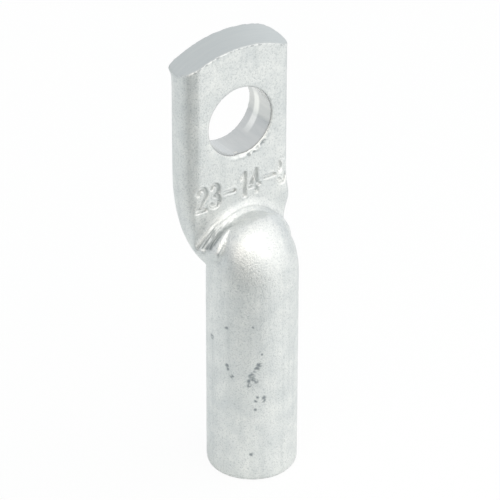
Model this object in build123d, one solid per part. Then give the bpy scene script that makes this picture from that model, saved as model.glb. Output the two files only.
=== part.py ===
"""Aluminium cable lug, pressed and drilled from one piece of round bar.

The barrel stands on its open end and holds the conductor. The upper end of the bar is pressed
between two flat dies into a palm, which takes the terminal stud. The front die stops at an arched
shoulder, so the bar keeps its round domed end in front of the palm.

Frame, in millimetres: +Z runs from the open end of the barrel to the palm, -Y is the side of the
domed shoulder, and +Y is the side of the palm's contact face. The origin is the centre of the
barrel's open end.
"""
from build123d import *
import math
import os

# Barrel: the round end that is crimped on the conductor
barrel_diameter = 14.0
barrel_rim_round = 0.35
bore_diameter = 8.0
bore_depth = 32.0
bore_mouth_chamfer = 0.4
drill_point_angle = 118.0

# Domed shoulder: the rounded end of the bar in front of the palm
dome_start = 33.5
dome_top = 43.1
dome_side_fullness = 0.72

# Palm: the flat end, with bevels along its front and its arched end cut a little askew
palm_front = 3.1
palm_thickness = 6.2
palm_width = 18.8
palm_flat_width = 14.6
palm_bevel_slope = 26.0
palm_side_bulge = 0.75
palm_rear_corner_width = 1.2
palm_rear_corner_depth = 0.9
palm_crest = 69.7
palm_crest_radius = 17.0
palm_end_lean = 1.5
palm_end_skew = 16.0

# Stud hole, clearance for an M10 stud, set back from the palm's crest
stud_hole_diameter = 11.0
stud_hole_setback = 12.3
stud_hole_rim_round = 0.3

# Flare: where the bar widens from the barrel to the palm. Its nose is the lip that squeezes out
# on both sides of the dome, and grows late.
flare_start = 35.3
flare_end = 49.0
flare_inset = 0.5
flare_nose_width = 14.2
flare_nose_inset = 0.7
flare_nose_share = 0.69
flare_nose_growth = 3
flare_nose_hold = 8

# Arched shoulder that the front die leaves
arch_centre_height = 34.9
arch_radius = 8.65
arch_draft = 6.0
arch_root_radius = 0.35

# Metal left on before the dies and the end cut take it away
bevel_allowance = 2.4
die_allowance = 1.0
contact_allowance = 0.3
end_allowance = 1.0

# Places round the bar, in degrees from +X, that turn into the corners of the palm's section
nose_place = -8
corner_place = 20
bulge_place = 38
rear_side_place = 55
rear_edge_place = 68
rear_mid_place = 90

# Ease angles of the lofts' sections. The plain ones before and after keep the joins without a wave.
dome_plain_angles = (-56, -42, -28, -14, 0)
dome_angles = (14, 28, 42, 55, 66, 76, 85)
flare_angles = (12, 28, 44, 60, 75, 90)
flare_plain_angles = (15, 30, 45, 60)

barrel_radius = barrel_diameter / 2
palm_rear = palm_front + palm_thickness
stud_hole_height = palm_crest - stud_hole_setback
reach = 4 * barrel_diameter
same = 1e-3


def bar_section(half_width, front_reach):
    """Outline of the bar: a half ellipse in front of the Y = 0 plane and a half circle behind it."""
    with BuildSketch() as sketch:
        with BuildLine():
            EllipticalCenterArc((0, 0), half_width, front_reach, start_angle=180, arc_size=180)
            CenterArc((0, 0), half_width, 0, 180)
        make_face()
    return sketch.sketch.faces()[0]


def above(height):
    """Block that covers everything above a height."""
    return Pos(0, 0, height + reach / 2) * Box(reach, reach, reach)


def barrel_blank():
    """Round bar with a domed end. The dome's front falls like a circle, its sides fall late.

    The loft begins with plain round sections, and only its stretch above the bar is kept.
    """
    rise = dome_top - dome_start
    sections = []
    for angle in dome_plain_angles:
        height = dome_start + rise * math.radians(angle)
        sections.append(Pos(0, 0, height) * bar_section(barrel_radius, barrel_radius))
    for angle in dome_angles:
        height = dome_start + rise * math.sin(math.radians(angle))
        fall = math.cos(math.radians(angle))
        section = bar_section(barrel_radius * fall ** dome_side_fullness, barrel_radius * fall)
        sections.append(Pos(0, 0, height) * section)
    dome = loft(sections) & above(dome_start)
    return Pos(0, 0, dome_start / 2) * Cylinder(barrel_radius, dome_start) + dome


def blended(place, palm_point, radius, share):
    """Point on its way from a place round the bar, at share 0, to a point of the palm, at share 1."""
    bar_x = radius * math.cos(math.radians(place))
    bar_y = radius * math.sin(math.radians(place))
    return (bar_x + (palm_point[0] - bar_x) * share, bar_y + (palm_point[1] - bar_y) * share)


def mirrored(point):
    """The same point on the other side of the lug."""
    return (-point[0], point[1])


def flattened_section(share):
    """Outline of the bar on its way from round, at share 0, to the palm's section, at share 1."""
    radius = barrel_radius - flare_inset * (1 - share)
    growth = min(1, share / flare_nose_share) ** flare_nose_growth
    nose_start = barrel_radius - flare_nose_inset
    nose_radius = nose_start + (flare_nose_width / 2 - nose_start) * growth
    half = palm_width / 2
    flat = palm_flat_width / 2
    side = half - palm_side_bulge
    slope = math.tan(math.radians(palm_bevel_slope))

    nose_point = (flat - bevel_allowance, palm_front - bevel_allowance * slope)
    nose = blended(nose_place, nose_point, nose_radius, share ** flare_nose_hold)
    corner = blended(corner_place, (side, palm_front + (side - flat) * slope), radius, share)
    bulge = blended(bulge_place, (half, palm_front + palm_thickness / 2), radius, share)
    rear_side = blended(rear_side_place, (side, palm_rear - palm_rear_corner_depth), radius, share)
    rear_edge = blended(rear_edge_place, (side - palm_rear_corner_width, palm_rear), radius, share)
    rear_mid = blended(rear_mid_place, (0, palm_rear + contact_allowance), radius, share)
    with BuildSketch() as sketch:
        with BuildLine():
            Line(mirrored(nose), nose)
            Line(nose, corner)
            ThreePointArc(corner, bulge, rear_side)
            Line(rear_side, rear_edge)
            ThreePointArc(rear_edge, rear_mid, mirrored(rear_edge))
            Line(mirrored(rear_edge), mirrored(rear_side))
            ThreePointArc(mirrored(rear_side), mirrored(bulge), mirrored(corner))
            Line(mirrored(corner), mirrored(nose))
        make_face()
    return sketch.sketch.faces()[0]


def flare():
    """Widening stretch: sections along a quarter ellipse, from inside the bar to the palm.

    The loft runs on through a few sections of the palm, and only its stretch below it is kept.
    """
    rise = flare_end - flare_start
    sections = []
    for angle in flare_angles:
        height = flare_end - rise * math.cos(math.radians(angle))
        sections.append(Pos(0, 0, height) * flattened_section(math.sin(math.radians(angle))))
    for angle in flare_plain_angles:
        height = flare_end + rise * math.radians(angle)
        sections.append(Pos(0, 0, height) * flattened_section(1.0))
    return loft(sections) - above(flare_end)


def palm():
    """Straight stretch of the flattened bar, up past its arched end."""
    length = palm_crest + end_allowance - flare_end
    return extrude(Pos(0, 0, flare_end) * flattened_section(1.0), amount=length)


def front_die():
    """Space that the front die presses clear: all in front of the palm, down to the arch.

    The arch narrows by its draft from the palm to past the front of the bar.
    """
    depth = palm_front + barrel_radius + die_allowance
    front_radius = arch_radius - depth * math.tan(math.radians(arch_draft))
    block = above(arch_centre_height) & Pos(0, palm_front - reach / 2, 0) * Box(reach, reach, 4 * reach)
    arch = Cone(arch_radius, front_radius, depth, align=(Align.CENTER, Align.CENTER, Align.MIN))
    die = block - Pos(0, palm_front, arch_centre_height) * Rot(90, 0, 0) * arch
    root = die.edges().filter_by(GeomType.CIRCLE).sort_by(Axis.Y)[-1]
    return fillet(root, radius=arch_root_radius)


def rear_die():
    """Space behind the palm's flat contact face."""
    return Pos(0, palm_rear + reach / 2, palm_crest / 2) * Box(reach, reach, 2 * palm_crest)


def end_cut():
    """Space above the palm's arched end, leaned and turned about the crest of its front edge."""
    with BuildPart() as cut:
        with BuildSketch(Plane.XZ):
            with Locations((0, reach / 2 - palm_crest_radius)):
                Rectangle(reach, reach)
            with Locations((0, -palm_crest_radius)):
                Circle(palm_crest_radius, mode=Mode.SUBTRACT)
        extrude(amount=reach, both=True)
    return Pos(0, palm_front, palm_crest) * Rot(palm_end_lean, 0, -palm_end_skew) * cut.part


def stud_hole():
    """Round hole through the palm."""
    middle = (palm_front + palm_rear) / 2
    return Pos(0, middle, stud_hole_height) * Rot(90, 0, 0) * Cylinder(stud_hole_diameter / 2, reach)


def conductor_bore():
    """Drilled blind bore with its drill point and a chamfered mouth."""
    radius = bore_diameter / 2
    mouth = radius + bore_mouth_chamfer
    point = radius / math.tan(math.radians(drill_point_angle / 2))
    with BuildPart() as bore:
        with BuildSketch(Plane.XZ):
            with BuildLine():
                Polyline(
                    (0, 0),
                    (mouth, 0),
                    (radius, bore_mouth_chamfer),
                    (radius, bore_depth),
                    (0, bore_depth + point),
                    close=True,
                )
            make_face()
        revolve(axis=Axis.Z)
    return bore.part


def rims(body, diameter):
    """Round edges of a body that have a diameter."""
    circles = body.edges().filter_by(GeomType.CIRCLE)
    return [edge for edge in circles if abs(edge.radius - diameter / 2) < same]


def lug_body():
    """The whole forging: bar and flattened end, pressed, cut to its arched end, punched and drilled."""
    wing = (flare() + palm()) - front_die() - rear_die() - end_cut()
    bar = barrel_blank() - front_die()
    body = bar + wing - stud_hole() - conductor_bore()
    body = fillet(rims(body, stud_hole_diameter), radius=stud_hole_rim_round)
    foot = [edge for edge in rims(body, barrel_diameter) if edge.center().Z < same]
    return fillet(foot, radius=barrel_rim_round)


os.makedirs("parts", exist_ok=True)
body = lug_body()
print("volume", round(body.volume, 1), "valid", body.is_valid, "solids", len(body.solids()))
export_step(body, "parts/lug_body.step")
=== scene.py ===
import math
import bmesh
import bpy
import numpy as np
from mathutils import Euler, Matrix, Vector, noise


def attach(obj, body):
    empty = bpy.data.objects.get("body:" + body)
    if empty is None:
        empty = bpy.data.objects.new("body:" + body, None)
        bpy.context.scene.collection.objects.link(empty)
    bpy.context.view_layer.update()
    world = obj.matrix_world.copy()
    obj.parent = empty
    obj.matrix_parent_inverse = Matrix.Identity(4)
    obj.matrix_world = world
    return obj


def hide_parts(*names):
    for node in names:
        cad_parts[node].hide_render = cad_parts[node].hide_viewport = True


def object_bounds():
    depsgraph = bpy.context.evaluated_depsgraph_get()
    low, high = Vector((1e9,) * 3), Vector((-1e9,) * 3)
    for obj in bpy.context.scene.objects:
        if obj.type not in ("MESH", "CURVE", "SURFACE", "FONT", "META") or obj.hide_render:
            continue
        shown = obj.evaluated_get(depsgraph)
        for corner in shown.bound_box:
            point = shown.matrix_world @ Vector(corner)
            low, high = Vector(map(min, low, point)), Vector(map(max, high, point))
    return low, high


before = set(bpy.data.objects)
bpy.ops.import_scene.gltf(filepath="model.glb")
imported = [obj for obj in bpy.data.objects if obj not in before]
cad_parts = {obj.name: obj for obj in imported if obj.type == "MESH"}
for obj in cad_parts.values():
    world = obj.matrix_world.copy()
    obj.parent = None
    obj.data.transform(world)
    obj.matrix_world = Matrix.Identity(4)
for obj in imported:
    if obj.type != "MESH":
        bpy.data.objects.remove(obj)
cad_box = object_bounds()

# Pressed body. The lug is one forging: round aluminium bar whose end is pressed flat between two
# dies, cut off, punched for the stud and drilled for the conductor. It is tumbled afterwards, so
# its arrises are soft, apart from the cut end, the punched hole and the pressed shoulder.
MM = 0.001
BODY_GRID_MM = 0.285
WELD_MM = 0.0001
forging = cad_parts["lug_body"]

blank = bmesh.new()
blank.from_mesh(forging.data)
bmesh.ops.remove_doubles(blank, verts=blank.verts, dist=WELD_MM * MM)
blank_mesh = bpy.data.meshes.new("pressed_lug_blank")
blank.to_mesh(blank_mesh)
blank.free()
lug = bpy.data.objects.new("pressed_lug", blank_mesh)
bpy.context.scene.collection.objects.link(lug)
even = lug.modifiers.new("even_grid", "REMESH")
even.mode = "VOXEL"
even.voxel_size = BODY_GRID_MM * MM
true = lug.modifiers.new("true_surface", "SHRINKWRAP")
true.target = forging
true.wrap_method = "NEAREST_SURFACEPOINT"
shaped = bpy.data.meshes.new_from_object(lug.evaluated_get(bpy.context.evaluated_depsgraph_get()))
lug.modifiers.clear()
lug.data = shaped


def mesh_arrays(mesh):
    """Points in millimetres, normals, and the edges as pairs of point numbers."""
    points = np.empty(len(mesh.vertices) * 3)
    mesh.vertices.foreach_get("co", points)
    normals = np.empty(len(mesh.vertices) * 3)
    mesh.vertices.foreach_get("normal", normals)
    edges = np.empty(len(mesh.edges) * 2, dtype=np.int64)
    mesh.edges.foreach_get("vertices", edges)
    return points.reshape(-1, 3) / MM, normals.reshape(-1, 3), edges.reshape(-1, 2)


def step(low, high, value):
    """Smooth rise from 0 at low to 1 at high."""
    t = np.clip((value - low) / (high - low), 0, 1)
    return t * t * (3 - 2 * t)


# Tumbling wears the arrises round. The cut end, the hole's rim, the shoulder and its left corner
# keep a share of their sharpness. The end's sizes and the hole's are those of the solid.
FRONT_MM = 3.1
HOLE_HEIGHT_MM = 57.4
HOLE_RADIUS_MM = 5.5
END_CREST_MM = (0.0, 3.1, 69.7)
END_RADIUS_MM = 17.0
END_LEAN_DEG = 1.5
END_SKEW_DEG = 16.0
END_KEPT = 0.86
HOLE_KEPT = 0.80
SHOULDER_KEPT = 0.50
CORNER_KEPT = 0.85
WEAR = 0.5
WEAR_ROUNDS = 8


def past_cut(points):
    """How far each point is out past the arched end cut, less than 0 inside the palm."""
    lean = Euler((math.radians(END_LEAN_DEG), 0, 0)).to_matrix()
    skew = Euler((0, 0, math.radians(-END_SKEW_DEG))).to_matrix()
    local = (points - np.array(END_CREST_MM)) @ np.array(lean @ skew)
    return np.hypot(local[:, 0], np.maximum(local[:, 2] + END_RADIUS_MM, 0)) - END_RADIUS_MM


def tumbled(points, edges, share, rounds):
    """Draws each point towards the mean of its neighbours, as tumbling wears the arrises."""
    ends = np.concatenate([edges, edges[:, ::-1]])
    count = np.bincount(ends[:, 0], minlength=len(points))
    for _ in range(rounds):
        sums = [np.bincount(ends[:, 0], weights=points[ends[:, 1], k], minlength=len(points))
                for k in range(3)]
        mean = np.stack(sums, axis=1) / count[:, None]
        points = points + share[:, None] * (mean - points)
    return points


points, normals, edges = mesh_arrays(shaped)
x, y, z = points.T
from_hole = np.hypot(x, z - HOLE_HEIGHT_MM)
crisp_end = step(-1.0, -0.3, past_cut(points))
crisp_hole = 1 - step(0.3, 0.9, np.abs(from_hole - HOLE_RADIUS_MM))
in_front = 1 - step(FRONT_MM - 0.4, FRONT_MM + 0.6, y)
crisp_shoulder = in_front * step(37.0, 38.5, z) * (1 - step(44.5, 46.0, z))
crisp_corner = crisp_shoulder * step(1.0, 4.0, -x) * (1 - step(42.0, 43.0, z))
crisp = np.maximum.reduce([END_KEPT * crisp_end, HOLE_KEPT * crisp_hole,
                           SHOULDER_KEPT * crisp_shoulder, CORNER_KEPT * crisp_corner])
points = tumbled(points, edges, WEAR * (1 - crisp), WEAR_ROUNDS)

# The metal flows a little unevenly under the dies: small moves of it in millimetres, each about a
# place, within a radius. The right wing bulges and its lip stays short; the left corner runs out.
FLOW = [
    ((8.3, 3.8, 42.6), 2.0, (0.42, -0.24, 0.0)),
    ((6.9, -0.8, 39.6), 1.8, (-0.50, 0.10, -0.1)),
    ((-7.9, 3.0, 38.4), 1.2, (-0.45, 0.0, -0.05)),
    ((-6.5, -0.9, 37.5), 1.0, (0.25, 0.35, 0.3)),
    ((1.2, 1.0, 43.3), 2.6, (0.0, 0.0, 0.30)),
    ((-8.5, 8.5, 67.2), 1.1, (-0.55, 0.15, 0.0)),
    ((-3.5, -0.6, 42.6), 1.4, (0.0, 0.25, 0.0)),
]


def away_from(points, place):
    """Distance of each point from a place."""
    return np.linalg.norm(points - np.array(place), axis=1)


def put_points(mesh, points):
    """Gives a mesh its points, which are in millimetres."""
    mesh.vertices.foreach_set("co", (points * MM).ravel())
    mesh.update()


for place, radius, move in FLOW:
    near = np.exp(-(away_from(points, place) / radius) ** 2)
    points = points + near[:, None] * np.array(move)
put_points(shaped, points)

# Finer grid where fine forms follow: the shoulder, the hole's rim, the end's front edge and the
# scuffs on the barrel, and finest on the face that takes the size numbers. A scuff is given by its
# place on the barrel and its size.
SHOULDER_HEIGHT_MM = 34.9
SHOULDER_RADIUS_MM = 8.65
ROW_HALF_MM = 8.6
ROW_LOW_MM = 43.9
ROW_HIGH_MM = 49.2
SCUFFS = [
    (-3.02, -6.31, 21.1, 0.50), (-3.29, -6.17, 20.6, 0.45), (-3.55, -6.03, 19.9, 0.35),
    (-4.00, -5.74, 19.3, 0.55), (-4.29, -5.53, 18.25, 0.40), (-3.80, -5.87, 18.45, 0.50),
    (-3.42, -6.10, 18.25, 0.40), (-4.29, -5.53, 17.5, 0.40), (-3.28, -6.18, 15.2, 0.40),
    (-3.54, -6.03, 14.65, 0.35), (-2.29, -6.61, 15.2, 0.35), (-2.29, -6.61, 14.7, 0.45),
    (-6.98, 0.43, 24.1, 0.50), (-6.42, -2.78, 20.4, 0.35), (-6.38, -2.88, 19.8, 0.30),
    (-6.03, -3.54, 18.7, 0.40), (-6.49, -2.62, 27.0, 0.35), (-3.83, -5.86, 27.8, 0.25),
    (-2.62, -6.49, 23.0, 0.30), (-3.54, -6.04, 13.2, 0.35), (-4.00, -5.72, 5.0, 0.40),
]


def refine(mesh, chosen, cuts):
    """Cuts the edges between the chosen points into a finer grid."""
    grid = bmesh.new()
    grid.from_mesh(mesh)
    inside = [e for e in grid.edges if chosen[e.verts[0].index] and chosen[e.verts[1].index]]
    bmesh.ops.subdivide_edges(grid, edges=inside, cuts=cuts, use_grid_fill=True)
    grid.to_mesh(mesh)
    grid.free()


def number_face(points, normals):
    """Whether each point is on the face that takes the size numbers."""
    x, y, z = points.T
    on_front = (y < FRONT_MM + 0.7) & (-normals[:, 1] > 0.2)
    return on_front & (np.abs(x) < ROW_HALF_MM) & (z > ROW_LOW_MM + 0.05) & (z < ROW_HIGH_MM - 0.1)


points, normals, edges = mesh_arrays(shaped)
x, y, z = points.T
from_hole = np.hypot(x, z - HOLE_HEIGHT_MM)
past_arch = np.hypot(x, z - SHOULDER_HEIGHT_MM) > 5.0
shoulder = (y < FRONT_MM + 0.3) & (z > 37.0) & (z < 43.9) & past_arch
rim = (y < FRONT_MM + 0.6) & (from_hole < HOLE_RADIUS_MM + 1.2)
front_edge = (y < FRONT_MM + 0.7) & (past_cut(points) > -0.7)
scuffed = np.zeros(len(points), dtype=bool)
for *place, size in SCUFFS:
    scuffed |= away_from(points, place) < 1.3 * size + 0.3
refine(shaped, (shoulder & ~number_face(points, normals)) | rim | front_edge | scuffed, 1)
points, normals, edges = mesh_arrays(shaped)
refine(shaped, number_face(points, normals), 3)

# Size numbers. The row is struck with single steel punches before tumbling, so each character has
# its own small lean and depth, with a soft lip. The numerals are plain ones without a meaning.
STROKE_MM = 0.68
STRIKE_DEPTH_MM = 0.50
STRIKE_UNEVEN = 0.45
STRUCK_LIP_MM = 0.05
NUMERAL_HEIGHT_MM = 3.7


def arc(cx, cy, rx, ry, start, end, count=12):
    """Points on an arc of a numeral, in shares of its width and height."""
    angles = np.radians(np.linspace(start, end, count))
    return [(cx + rx * math.cos(a), cy + ry * math.sin(a)) for a in angles]


STROKES = {
    "1": [[(0.0, 0.80), (0.80, 1.0), (0.80, 0.0)]],
    "2": [arc(0.5, 0.73, 0.46, 0.27, 165, -30) + [(0.05, 0.0), (0.98, 0.0)]],
    "3": [arc(0.46, 0.76, 0.42, 0.24, 150, -90), arc(0.46, 0.26, 0.48, 0.26, 90, -150)],
    "4": [[(0.72, 0.0), (0.72, 1.0), (0.02, 0.30), (1.0, 0.30)]],
    "5": [[(0.90, 1.0), (0.16, 1.0), (0.10, 0.56)] + arc(0.46, 0.31, 0.46, 0.31, 130, -150)],
    "-": [[(0.0, 0.48), (1.0, 0.48)]],
}
# Each character: its left side, width and foot in millimetres, and its lean
ROW = [
    ("2", -7.75, 1.60, 44.45, 0.04),
    ("3", -5.30, 1.60, 44.50, 0.0),
    ("-", -2.75, 1.65, 44.40, -0.02),
    ("1", 0.05, 0.80, 44.80, 0.01),
    ("4", 1.65, 1.65, 44.85, -0.02),
    ("-", 4.25, 1.65, 44.95, 0.02),
    ("5", 6.70, 1.50, 45.00, 0.05),
]
FAR_MM = 9.0


def bump_at(value, centre, width):
    """Smooth bell of height 1 about a centre."""
    return np.exp(-((value - centre) / width) ** 2)


def rough_field(points, size, seed=0.0):
    """Smooth random field from -1 to 1, whose lumps have a size in millimetres."""
    return np.array([noise.noise(Vector((p[0] / size + seed, p[1] / size, p[2] / size)))
                     for p in points])


def stroke_distance(x, z):
    """Distance from each point of the palm's face to the nearest stroke of the row."""
    nearest = np.full(len(x), FAR_MM)
    for sign, left, width, foot, lean in ROW:
        for line in STROKES[sign]:
            path = [(left + u * width + lean * v * NUMERAL_HEIGHT_MM, foot + v * NUMERAL_HEIGHT_MM)
                    for u, v in line]
            for (ax, az), (bx, bz) in zip(path, path[1:]):
                dx, dz = bx - ax, bz - az
                along = np.clip(((x - ax) * dx + (z - az) * dz) / (dx * dx + dz * dz), 0, 1)
                nearest = np.minimum(nearest, np.hypot(x - ax - along * dx, z - az - along * dz))
    return nearest


points, normals, edges = mesh_arrays(shaped)
x, y, z = points.T
on_face = step(0.5, 0.7, -normals[:, 1]) * step(ROW_LOW_MM, ROW_LOW_MM + 0.2, z)
on_face *= 1 - step(ROW_HIGH_MM - 0.2, ROW_HIGH_MM, z)
struck = on_face > 0
gap = np.full(len(points), FAR_MM)
gap[struck] = stroke_distance(x[struck], z[struck])
floor_depth = FRONT_MM + STRIKE_DEPTH_MM * (1 + STRIKE_UNEVEN * rough_field(points, 1.6))
inside = 1 - step(0.20 * STROKE_MM, 0.54 * STROKE_MM, gap)
sunk = np.maximum(floor_depth - y, 0) * inside
lip = STRUCK_LIP_MM * bump_at(gap, 0.86 * STROKE_MM, 0.13)
points[:, 1] += on_face * (sunk - lip)

# Shoulder: under the arch the metal is pinched to a sloping band, and behind the lip to a hollow,
# which is short at the sides and runs out over the dome in the middle. A fine line follows the
# arch. On the left the band is shallower.
BAND_DROP_MM = 0.90
BAND_WIDTH_MM = 1.4
LEFT_SHALLOWER = 0.5
RUN_OUT_MM = 4.6
SIDE_SHORTER_MM = 1.7
ARCH_LINE_MM = 0.11
ARCH_LINE_DEPTH_MM = 0.55


def left_of_crest(points):
    """Angle round the arch from its crest to each point, in degrees, more than 0 on the left."""
    return np.degrees(np.arctan2(-points[:, 0], points[:, 2] - SHOULDER_HEIGHT_MM))


from_arch = np.hypot(x, z - SHOULDER_HEIGHT_MM)
depth = FRONT_MM - y
run_out = RUN_OUT_MM - SIDE_SHORTER_MM * step(12, 38, np.abs(left_of_crest(points)))
hollow = np.clip(depth / BAND_WIDTH_MM, 0, 1) * (1 - step(BAND_WIDTH_MM, run_out, depth))
hollow *= step(6.0, 7.6, from_arch)
hollow *= 1 - step(SHOULDER_RADIUS_MM + 0.3, SHOULDER_RADIUS_MM + 0.6, from_arch)
hollow *= step(37.5, 39.0, z)
line = ARCH_LINE_MM * step(0.1, 0.3, hollow) * bump_at(depth, ARCH_LINE_DEPTH_MM, 0.10)
left_side = step(22, 56, left_of_crest(points))
inward = BAND_DROP_MM * (1 - LEFT_SHALLOWER * left_side) * hollow + line
points[:, 0] -= inward * x / from_arch
points[:, 2] -= inward * (z - SHOULDER_HEIGHT_MM) / from_arch

# Left corner of the shoulder: a thin arris, squeezed up between the dies, runs from the corner to
# the foot of the lip and on up the lip's left edge.
ARRIS_HEIGHT_MM = 0.18
ARRIS_WIDTH_MM = 0.20
ARRIS_MM = [(-8.0, 3.7, 38.15), (-7.68, 2.77, 38.29), (-7.45, 1.51, 38.55), (-7.18, 0.32, 38.75),
            (-6.88, -0.85, 38.97), (-6.29, -0.76, 39.6), (-5.44, -0.56, 40.6)]
from_arris = np.full(len(points), FAR_MM)
for start, end in zip(ARRIS_MM, ARRIS_MM[1:]):
    run = np.array(end) - np.array(start)
    along = np.clip((points - np.array(start)) @ run / (run @ run), 0, 1)
    from_arris = np.minimum(from_arris, away_from(points - along[:, None] * run, start))
points += normals * (ARRIS_HEIGHT_MM * bump_at(from_arris, 0.0, ARRIS_WIDTH_MM))[:, None]

# Hole's rim: the punch draws the front edge in a little at the top, and rolls the lower right of it
# out into a toothed burr, with one bright flat beside it. Angles run from the right, upwards.
BURR_AT_DEG = -62
BURR_OUT_MM = 0.60
TOOTH_MM = 0.42
FLAT_AT_DEG = -92
FLAT_DEPTH_MM = 0.32
DRAWN_AT_DEG = 95
DRAWN_DEPTH_MM = 0.12
from_hole = np.hypot(x, z - HOLE_HEIGHT_MM)
round_hole = np.degrees(np.arctan2(z - HOLE_HEIGHT_MM, x))
front_rim = step(0.4, 0.8, -normals[:, 1]) * (y < FRONT_MM + 0.8)
burr = bump_at(round_hole, BURR_AT_DEG, 26) * bump_at(from_hole, HOLE_RADIUS_MM + BURR_OUT_MM, 0.30)
teeth = 2.2 * rough_field(points, TOOTH_MM, 13.0)
points[:, 1] -= front_rim * burr * (0.06 + 0.20 * np.clip(teeth, -1, 1))
flat = 1 - step(HOLE_RADIUS_MM, HOLE_RADIUS_MM + 0.65, from_hole)
flat *= bump_at(round_hole, FLAT_AT_DEG, 13)
points[:, 1] += (y < FRONT_MM + 0.8) * flat * FLAT_DEPTH_MM
drawn_in = 1 - step(HOLE_RADIUS_MM, HOLE_RADIUS_MM + 0.9, from_hole)
drawn_in *= bump_at(round_hole, DRAWN_AT_DEG, 45)
points[:, 1] += (y < FRONT_MM + 0.8) * drawn_in * DRAWN_DEPTH_MM

# Cut end: the shear leaves a thin torn burr on the front edge, with painted shade under it in
# places.
TORN_MM = 0.14
past_end = past_cut(points)
torn = bump_at(past_end, -0.05, 0.22) * bump_at(y, FRONT_MM, 0.30)
torn *= np.clip(0.25 + 1.8 * rough_field(points, 0.45, 7.0), 0, 1)
points[:, 1] -= TORN_MM * torn
# Painted shade under the torn burr, in places along the cut end's front edge.
torn_shade = bump_at(past_end, -0.12, 0.14) * bump_at(y, FRONT_MM, 0.30)
torn_shade *= step(0.0, 0.25, rough_field(points, 0.6, 11.0))

# Tumbled skin: shallow unevenness all over, and deeper scuffs on the barrel, with ragged outlines.
# Darker colour in the scuffs; painted shade between the burr's teeth and under the torn burr.
WAVE_DEPTH_MM = 0.030
BEATEN_DEPTH_MM = 0.014
SCUFF_DEPTH_MM = 0.04
wave = 0.5 + 0.5 * rough_field(points, 2.6, 3.0)
beaten = 0.5 + 0.5 * rough_field(points, 0.9, 5.0)
at_hole = 1 - step(0.0, 0.3, np.abs(from_hole - HOLE_RADIUS_MM))
plain = 1 - np.maximum(step(-0.6, -0.2, past_end), at_hole)
flakes = rough_field(points, 0.55, 9.0)
scuff = np.zeros(len(points))
for *place, size in SCUFFS:
    off = away_from(points, place) / size
    scuff = np.maximum(scuff, (1 - step(0.5, 1.2, off + 1.1 * flakes)) * step(-0.45, -0.05, flakes))
sink = plain * (WAVE_DEPTH_MM * wave + BEATEN_DEPTH_MM * beaten) + SCUFF_DEPTH_MM * scuff
# Darker colour in the scuffs, and painted shade in the recesses between the hole's burr teeth.
scuffs_and_shade = np.maximum(scuff, front_rim * burr * step(0.1, 0.5, -teeth))
scuffs_and_shade = np.maximum(scuffs_and_shade, 0.9 * torn_shade)
points -= normals * sink[:, None]
put_points(shaped, np.clip(points, np.array(cad_box[0]) / MM, np.array(cad_box[1]) / MM))
for face in shaped.polygons:
    face.use_smooth = True
shaped.attributes.new("scuffs_and_shade", "FLOAT", "POINT").data.foreach_set("value", scuffs_and_shade)

# Drag marks of the die on the pinched band, with painted shade where it turns from the light:
# strong at the lower left, and faint round the arch.
drag_and_shade = step(0.0, 0.25, FRONT_MM - y) * step(38.0, 38.6, z) * step(6.3, 7.2, from_arch)
drag_and_shade *= step(0.2, 0.5, normals[:, 2]) * (0.12 + 0.88 * step(16, 50, left_of_crest(points)))
drag_and_shade *= (1 - step(2.7, 3.2, depth)) * step(0.15, 0.35, from_arris)
shaped.attributes.new("drag_and_shade", "FLOAT", "POINT").data.foreach_set("value", drag_and_shade)

# Finishes. All of them are bare aluminium of the same bar, which differs only in how each face was
# made: tumbled, sheared, punched or drilled. Of a Mix node for colours, the numbers below are the
# sockets for its share, its first colour, its second colour and its result.
SHARE, FIRST, SECOND, MIXED = 0, 6, 7, 2


def linear(code):
    """Scene colour of an sRGB hex value."""
    parts = [int(code[k:k + 2], 16) / 255 for k in (1, 3, 5)]
    plain = [c / 12.92 if c <= 0.04045 else ((c + 0.055) / 1.055) ** 2.4 for c in parts]
    return (*plain, 1.0)


def add(tree, kind, inputs=None, **settings):
    """Adds a node with its settings; inputs gives a value or another node's output for a socket."""
    new = tree.nodes.new(kind)
    for name, value in settings.items():
        setattr(new, name, value)
    for socket, value in (inputs or {}).items():
        if isinstance(value, bpy.types.NodeSocket):
            tree.links.new(value, new.inputs[socket])
        else:
            new.inputs[socket].default_value = value
    return new


def blank_material(name):
    """A new material with no nodes yet, and its node tree."""
    material = bpy.data.materials.new(name)
    material.use_nodes = True
    material.node_tree.nodes.clear()
    return material, material.node_tree


def per_size(sizes_mm):
    """Scale of a pattern whose lumps have the given sizes along X, Y and Z."""
    return tuple(1 / (size * MM) for size in sizes_mm)


# Tumbled aluminium: dull white metal, beaten all over into a fine grain that breaks up the light,
# with cloudy patches, faint draw lines along the bar and a few dark specks. The grain is drawn at a
# quarter of a millimetre, about the finest that the render can show. The drag marks run along the
# arch at its lower left, with painted shade there.
GRAIN_MM = 0.25
GRAIN_DEPTH_MM = 0.08
CLOUD_MM = 3.0
DRAW_LINE_MM = (0.9, 0.9, 18.0)
DRAG_MARK_MM = (3.5, 0.28, 0.28)
DRAG_MARK_TURN_DEG = -48
tumbled_alu, tree = blank_material("tumbled_aluminium")
place = add(tree, "ShaderNodeTexCoord").outputs["Object"]
grain = add(tree, "ShaderNodeTexNoise", {
    "Vector": place, "Scale": 1 / (GRAIN_MM * MM), "Detail": 2.0, "Roughness": 0.6})
patch = add(tree, "ShaderNodeTexNoise", {
    "Vector": place, "Scale": 1 / (CLOUD_MM * MM), "Detail": 5.0, "Roughness": 0.6})
clouds = add(tree, "ShaderNodeMapRange", {
    "Value": patch.outputs["Fac"], "From Min": 0.3, "From Max": 0.7})
tone = add(tree, "ShaderNodeMix", {
    SHARE: clouds.outputs["Result"],
    FIRST: linear("#DCDFE0"),
    SECOND: linear("#F0F1F0")}, data_type="RGBA")
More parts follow.
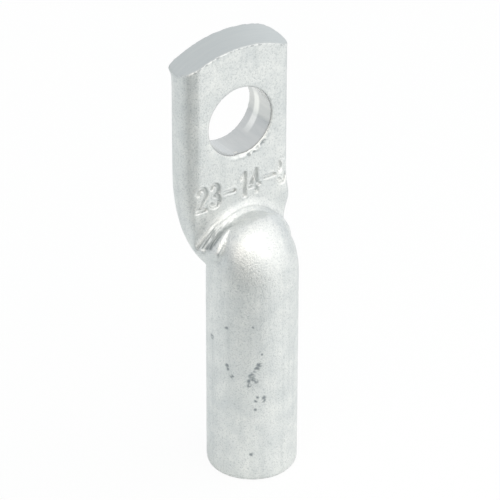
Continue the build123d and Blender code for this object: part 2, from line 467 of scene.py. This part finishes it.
drawn = add(tree, "ShaderNodeMapping", {"Vector": place, "Scale": per_size(DRAW_LINE_MM)})
drawn = add(tree, "ShaderNodeTexNoise", {
    "Vector": drawn.outputs["Vector"], "Scale": 1.0, "Detail": 2.0})
drawn = add(tree, "ShaderNodeMapRange", {
    "Value": drawn.outputs["Fac"], "From Min": 0.45, "From Max": 0.75, "To Max": 0.30})
tone = add(tree, "ShaderNodeMix", {
    SHARE: drawn.outputs["Result"],
    FIRST: tone.outputs[MIXED],
    SECOND: linear("#C3C8CA")}, data_type="RGBA")
specks = add(tree, "ShaderNodeMapRange", {
    "Value": grain.outputs["Fac"], "From Min": 0.50, "From Max": 0.28, "To Max": 0.50})
tone = add(tree, "ShaderNodeMix", {
    SHARE: specks.outputs["Result"],
    FIRST: tone.outputs[MIXED],
    SECOND: linear("#A9AFB2")}, data_type="RGBA")
scored = add(tree, "ShaderNodeMapping", {
    "Vector": place,
    "Rotation": (0, math.radians(DRAG_MARK_TURN_DEG), 0),
    "Scale": tuple(size * MM for size in DRAG_MARK_MM)}, vector_type="TEXTURE")
scored = add(tree, "ShaderNodeTexNoise", {
    "Vector": scored.outputs["Vector"], "Scale": 1.0, "Detail": 2.0})
scored = add(tree, "ShaderNodeMapRange", {
    "Value": scored.outputs["Fac"], "From Min": 0.36, "From Max": 0.60, "To Max": 0.90})
drag_and_shade_share = add(tree, "ShaderNodeAttribute", attribute_name="drag_and_shade")
drag_and_shade_share = add(tree, "ShaderNodeMath", {
    0: drag_and_shade_share.outputs["Fac"], 1: scored.outputs["Result"]}, operation="MULTIPLY")
# Drag marks and painted shade on the band's lower left, in dark grey.
tone = add(tree, "ShaderNodeMix", {
    SHARE: drag_and_shade_share.outputs[0],
    FIRST: tone.outputs[MIXED],
    SECOND: linear("#8C9294")}, data_type="RGBA")
# One grey for the darker scuffs and for the painted shade at the burrs.
shade_and_scuffs = add(tree, "ShaderNodeAttribute", attribute_name="scuffs_and_shade")
tone = add(tree, "ShaderNodeMix", {
    SHARE: shade_and_scuffs.outputs["Fac"],
    FIRST: tone.outputs[MIXED],
    SECOND: linear("#959B9F")}, data_type="RGBA")
dull = add(tree, "ShaderNodeMapRange", {
    "Value": grain.outputs["Fac"],
    "From Min": 0.3, "From Max": 0.7,
    "To Min": 0.38, "To Max": 0.50})
relief = add(tree, "ShaderNodeBump", {
    "Height": grain.outputs["Fac"], "Strength": 1.0, "Distance": GRAIN_DEPTH_MM * MM})
skin = add(tree, "ShaderNodeBsdfPrincipled", {
    "Base Color": tone.outputs[MIXED],
    "Metallic": 1.0,
    "Roughness": dull.outputs["Result"],
    "Normal": relief.outputs["Normal"]})
add(tree, "ShaderNodeOutputMaterial", {"Surface": skin.outputs["BSDF"]})

# Sheared aluminium: the smooth satin of the cut end, with faint lines across it.
SHEAR_LINE_MM = (6.0, 0.35, 2.0)
sheared_alu, tree = blank_material("sheared_aluminium")
place = add(tree, "ShaderNodeTexCoord").outputs["Object"]
long = add(tree, "ShaderNodeMapping", {"Vector": place, "Scale": per_size(SHEAR_LINE_MM)})
lines = add(tree, "ShaderNodeTexNoise", {
    "Vector": long.outputs["Vector"], "Scale": 1.0, "Detail": 3.0})
tone = add(tree, "ShaderNodeMix", {
    SHARE: lines.outputs["Fac"],
    FIRST: linear("#CBCFD0"),
    SECOND: linear("#D8DAD9")}, data_type="RGBA")
relief = add(tree, "ShaderNodeBump", {
    "Height": lines.outputs["Fac"], "Strength": 0.25, "Distance": 0.02 * MM})
skin = add(tree, "ShaderNodeBsdfPrincipled", {
    "Base Color": tone.outputs[MIXED],
    "Metallic": 1.0,
    "Roughness": 0.42,
    "Normal": relief.outputs["Normal"]})
add(tree, "ShaderNodeOutputMaterial", {"Surface": skin.outputs["BSDF"]})

# Punched aluminium: the burnished wall of the stud hole, with fine streaks along the punch's way.
# A painted highlight, a bright band in the colour, runs round the right of it.
PUNCH_LINE_MM = (0.8, 9.0, 0.8)
STREAK_DEPTH_MM = 7.0
punched_alu, tree = blank_material("punched_aluminium")
place = add(tree, "ShaderNodeTexCoord").outputs["Object"]
long = add(tree, "ShaderNodeMapping", {"Vector": place, "Scale": per_size(PUNCH_LINE_MM)})
lines = add(tree, "ShaderNodeTexNoise", {
    "Vector": long.outputs["Vector"], "Scale": 1.0, "Detail": 3.0})
tone = add(tree, "ShaderNodeMix", {
    SHARE: lines.outputs["Fac"],
    FIRST: linear("#C9CCCD"),
    SECOND: linear("#E8E6E4")}, data_type="RGBA")
parts = add(tree, "ShaderNodeSeparateXYZ", {"Vector": place})
right = add(tree, "ShaderNodeMapRange", {
    "Value": parts.outputs["X"], "From Min": 3.2 * MM, "From Max": 4.6 * MM})
low = add(tree, "ShaderNodeMapRange", {
    "Value": parts.outputs["Z"], "From Min": 60.5 * MM, "From Max": 58.5 * MM})
right = add(tree, "ShaderNodeMath", {
    0: right.outputs["Result"], 1: low.outputs["Result"]}, operation="MULTIPLY")
off = add(tree, "ShaderNodeMath", {
    0: parts.outputs["Y"], 1: -STREAK_DEPTH_MM * MM}, operation="ADD")
off = add(tree, "ShaderNodeMath", {0: off.outputs[0]}, operation="ABSOLUTE")
# Painted highlight: a near-white band at one depth of the wall, on its lower right.
painted_streak = add(tree, "ShaderNodeMapRange", {
    "Value": off.outputs[0], "From Min": 0.80 * MM, "From Max": 0.45 * MM})
painted_streak = add(tree, "ShaderNodeMath", {
    0: painted_streak.outputs["Result"], 1: right.outputs[0]}, operation="MULTIPLY")
tone = add(tree, "ShaderNodeMix", {
    SHARE: painted_streak.outputs[0],
    FIRST: tone.outputs[MIXED],
    SECOND: linear("#FFFEFB")}, data_type="RGBA")
relief = add(tree, "ShaderNodeBump", {
    "Height": lines.outputs["Fac"], "Strength": 0.6, "Distance": 0.03 * MM})
skin = add(tree, "ShaderNodeBsdfPrincipled", {
    "Base Color": tone.outputs[MIXED],
    "Metallic": 1.0,
    "Roughness": 0.22,
    "Normal": relief.outputs["Normal"]})
add(tree, "ShaderNodeOutputMaterial", {"Surface": skin.outputs["BSDF"]})

# Drilled aluminium: the bore, a little shinier than the skin, with the fine rings that the drill
# leaves. A wave texture of scale 1 repeats every 0.31 of its unit.
DRILL_RING_MM = 0.35
WAVE_REPEAT = 0.31
drilled_alu, tree = blank_material("drilled_aluminium")
place = add(tree, "ShaderNodeTexCoord").outputs["Object"]
rings = add(tree, "ShaderNodeTexWave", {
    "Vector": place,
    "Scale": WAVE_REPEAT / (DRILL_RING_MM * MM),
    "Distortion": 1.5,
    "Detail": 2.0,
    "Detail Scale": 2.0}, bands_direction="Z")
relief = add(tree, "ShaderNodeBump", {
    "Height": rings.outputs["Fac"], "Strength": 0.6, "Distance": 0.02 * MM})
skin = add(tree, "ShaderNodeBsdfPrincipled", {
    "Base Color": linear("#D4D7D8"),
    "Metallic": 1.0,
    "Roughness": 0.30,
    "Normal": relief.outputs["Normal"]})
add(tree, "ShaderNodeOutputMaterial", {"Surface": skin.outputs["BSDF"]})

# Each face takes the finish of its place.
BORE_EDGE_MM = 4.4
BORE_TOP_MM = 35
shaped.materials.clear()
for finish in (tumbled_alu, sheared_alu, punched_alu, drilled_alu):
    shaped.materials.append(finish)
TUMBLED, SHEARED, PUNCHED, DRILLED = range(4)
middles = np.empty(len(shaped.polygons) * 3)
shaped.polygons.foreach_get("center", middles)
middles = middles.reshape(-1, 3) / MM
x, y, z = middles.T
hole_wall = np.hypot(x, z - HOLE_HEIGHT_MM) < HOLE_RADIUS_MM + 0.06
cut_face = past_cut(middles) > -0.10
bore = (np.hypot(x, y) < BORE_EDGE_MM) & (z < BORE_TOP_MM) & (z > 0.02)
finish_of = np.select([hole_wall, cut_face, bore], [PUNCHED, SHEARED, DRILLED], TUMBLED)
shaped.polygons.foreach_set("material_index", finish_of)

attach(lug, "root")
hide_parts("lug_body")

# Floor: white paper under the lug, which the camera sees as plain white with a faint shadow. The
# metal sees painted shade in its colour: a little greyer towards the left, and dim further out at
# the front left.
SEEN_WHITE = 0.92
FLOOR_HALF_M = 3
DIM_FLOOR_MM = (38, 90)


def seen_share(tree, in_camera, in_metal):
    """Share of plain white that a ray sees: one value for the camera, one for gloss and glass."""
    ray = add(tree, "ShaderNodeLightPath")
    shiny = add(tree, "ShaderNodeMath", {
        0: ray.outputs["Is Glossy Ray"],
        1: ray.outputs["Is Transmission Ray"]}, operation="MAXIMUM")
    shiny = add(tree, "ShaderNodeMath", {0: shiny.outputs[0], 1: in_metal}, operation="MULTIPLY")
    direct = add(tree, "ShaderNodeMath", {
        0: ray.outputs["Is Camera Ray"], 1: in_camera}, operation="MULTIPLY")
    either = add(tree, "ShaderNodeMath", {
        0: direct.outputs[0], 1: shiny.outputs[0]}, operation="MAXIMUM")
    return either.outputs[0]


def towards(azimuth, elevation):
    """Direction from the lug, with azimuth 0 in front of it and 90 to its right."""
    a, e = math.radians(azimuth), math.radians(elevation)
    return Vector((math.sin(a) * math.cos(e), -math.cos(a) * math.cos(e), math.sin(e)))


half = FLOOR_HALF_M
floor_mesh = bpy.data.meshes.new("white_floor")
floor_mesh.from_pydata(
    [(-half, -half, 0), (half, -half, 0), (half, half, 0), (-half, half, 0)], [], [(0, 1, 2, 3)])
floor = bpy.data.objects.new("white_floor", floor_mesh)
bpy.context.scene.collection.objects.link(floor)
paper, tree = blank_material("white_paper")
spot = add(tree, "ShaderNodeTexCoord").outputs["Object"]
way = add(tree, "ShaderNodeVectorMath", {0: spot}, operation="NORMALIZE").outputs[0]
# Painted light and shade in the floor's colour: lighter towards the right, greyer to the left.
lit = add(tree, "ShaderNodeVectorMath", {0: way, 1: towards(100, 0)}, operation="DOT_PRODUCT")
lit = add(tree, "ShaderNodeMapRange", {
    "Value": lit.outputs["Value"], "From Min": -0.9, "From Max": 0.4})
tone = add(tree, "ShaderNodeMix", {
    SHARE: lit.outputs["Result"],
    FIRST: linear("#ECEEEE"),
    SECOND: linear("#F7F8F8")}, data_type="RGBA")
# Painted shade: the floor's colour dims further out at the front left.
away = add(tree, "ShaderNodeVectorMath", {0: way, 1: towards(-45, 0)}, operation="DOT_PRODUCT")
away = add(tree, "ShaderNodeMapRange", {
    "Value": away.outputs["Value"], "From Min": 0.45, "From Max": 0.95},
    interpolation_type="SMOOTHSTEP")
far = add(tree, "ShaderNodeVectorMath", {0: spot}, operation="LENGTH")
far = add(tree, "ShaderNodeMapRange", {
    "Value": far.outputs["Value"],
    "From Min": DIM_FLOOR_MM[0] * MM,
    "From Max": DIM_FLOOR_MM[1] * MM})
dim = add(tree, "ShaderNodeMath", {
    0: away.outputs["Result"], 1: far.outputs["Result"]}, operation="MULTIPLY")
tone = add(tree, "ShaderNodeMix", {
    SHARE: dim.outputs[0],
    FIRST: tone.outputs[MIXED],
    SECOND: linear("#939797")}, data_type="RGBA")
matt = add(tree, "ShaderNodeBsdfDiffuse", {"Color": tone.outputs[MIXED]})
glow = add(tree, "ShaderNodeEmission", {"Color": linear("#FFFFFF"), "Strength": 1.0})
mixed = add(tree, "ShaderNodeMixShader", {
    0: seen_share(tree, SEEN_WHITE, 0.0), 1: matt.outputs[0], 2: glow.outputs[0]})
add(tree, "ShaderNodeOutputMaterial", {"Surface": mixed.outputs[0]})
floor_mesh.materials.append(paper)

# Studio: an even cool white all round, dimmer low at the front left and brighter low behind the
# right. The camera sees it as plain white, and the metal sees a part of that white too.
MIRRORED_WHITE = 0.3
ROOM_LEVEL = 0.77
LEAST_LEVEL = 0.05
DIM_SIDE = towards(-60, 0)
DIM_DEPTH = 0.84
DIM_SPREAD = 4.2
BRIGHT_SIDE = towards(122, 2)
BRIGHT_GAIN = 0.30
BRIGHT_SPREAD = 9.0
world = bpy.data.worlds.new("white_sweep")
world.use_nodes = True
world.node_tree.nodes.clear()
tree = world.node_tree
way = add(tree, "ShaderNodeTexCoord").outputs["Generated"]
near = add(tree, "ShaderNodeVectorMath", {0: way, 1: DIM_SIDE}, operation="DOT_PRODUCT")
near = add(tree, "ShaderNodeMath", {
    0: near.outputs["Value"], 1: DIM_SPREAD, 2: -DIM_SPREAD}, operation="MULTIPLY_ADD")
near = add(tree, "ShaderNodeMath", {0: near.outputs[0]}, operation="EXPONENT")
level = add(tree, "ShaderNodeMath", {
    0: near.outputs[0], 1: -DIM_DEPTH, 2: ROOM_LEVEL}, operation="MULTIPLY_ADD")
level = add(tree, "ShaderNodeMath", {0: level.outputs[0], 1: LEAST_LEVEL}, operation="MAXIMUM")
back = add(tree, "ShaderNodeVectorMath", {0: way, 1: BRIGHT_SIDE}, operation="DOT_PRODUCT")
back = add(tree, "ShaderNodeMath", {
    0: back.outputs["Value"], 1: BRIGHT_SPREAD, 2: -BRIGHT_SPREAD}, operation="MULTIPLY_ADD")
back = add(tree, "ShaderNodeMath", {0: back.outputs[0]}, operation="EXPONENT")
level = add(tree, "ShaderNodeMath", {
    0: back.outputs[0], 1: BRIGHT_GAIN, 2: level.outputs[0]}, operation="MULTIPLY_ADD")
room = add(tree, "ShaderNodeBackground", {
    "Color": linear("#F6FCFF"), "Strength": level.outputs[0]})
white = add(tree, "ShaderNodeBackground", {"Color": linear("#FFFFFF"), "Strength": 1.0})
mixed = add(tree, "ShaderNodeMixShader", {
    0: seen_share(tree, 1.0, MIRRORED_WHITE), 1: room.outputs[0], 2: white.outputs[0]})
add(tree, "ShaderNodeOutputWorld", {"Surface": mixed.outputs[0]})
bpy.context.scene.world = world

# Light: a large softbox above the front right, and a small one above the left front. Each has its
# azimuth, elevation, distance and side in metres, power in watts, and colour.
SOFTBOXES = {
    "large_softbox": (32, 36, 0.80, 1.55, 4.4, "#FFF9EF"),
    "small_softbox": (-42, 41, 0.65, 0.92, 2.25, "#FFF8EC"),
}
LIT_PLACE = Vector((0, 0, 0.04))
for name, (azimuth, elevation, distance, side, power, colour) in SOFTBOXES.items():
    box = bpy.data.lights.new(name, "AREA")
    box.shape = "SQUARE"
    box.size = side
    box.energy = power
    box.color = linear(colour)[:3]
    lamp = bpy.data.objects.new(name, box)
    bpy.context.scene.collection.objects.link(lamp)
    lamp.location = LIT_PLACE + towards(azimuth, elevation) * distance
    lamp.rotation_euler = (LIT_PLACE - lamp.location).to_track_quat("-Z", "Y").to_euler()

# Camera: a long lens above the lug's left front, aimed near its middle and rolled very slightly.
CAMERA_PLACE = (-0.23903, -0.35138, 0.29358)
AIMED_AT = Vector((-0.00043, 0, 0.03724))
ROLL_DEG = 0.16
lens = bpy.data.cameras.new("camera")
lens.sensor_width = 36.0
lens.lens = 240.0
lens.clip_start = 0.05
camera = bpy.data.objects.new("camera", lens)
bpy.context.scene.collection.objects.link(camera)
camera.location = CAMERA_PLACE
aim = (AIMED_AT - camera.location).to_track_quat("-Z", "Y").to_matrix().to_4x4()
roll = Matrix.Rotation(math.radians(ROLL_DEG), 4, "Z")
camera.matrix_world = Matrix.Translation(camera.location) @ aim @ roll
bpy.context.scene.camera = camera
bpy.context.scene.view_settings.view_transform = "Standard"


bpy.context.view_layer.update()
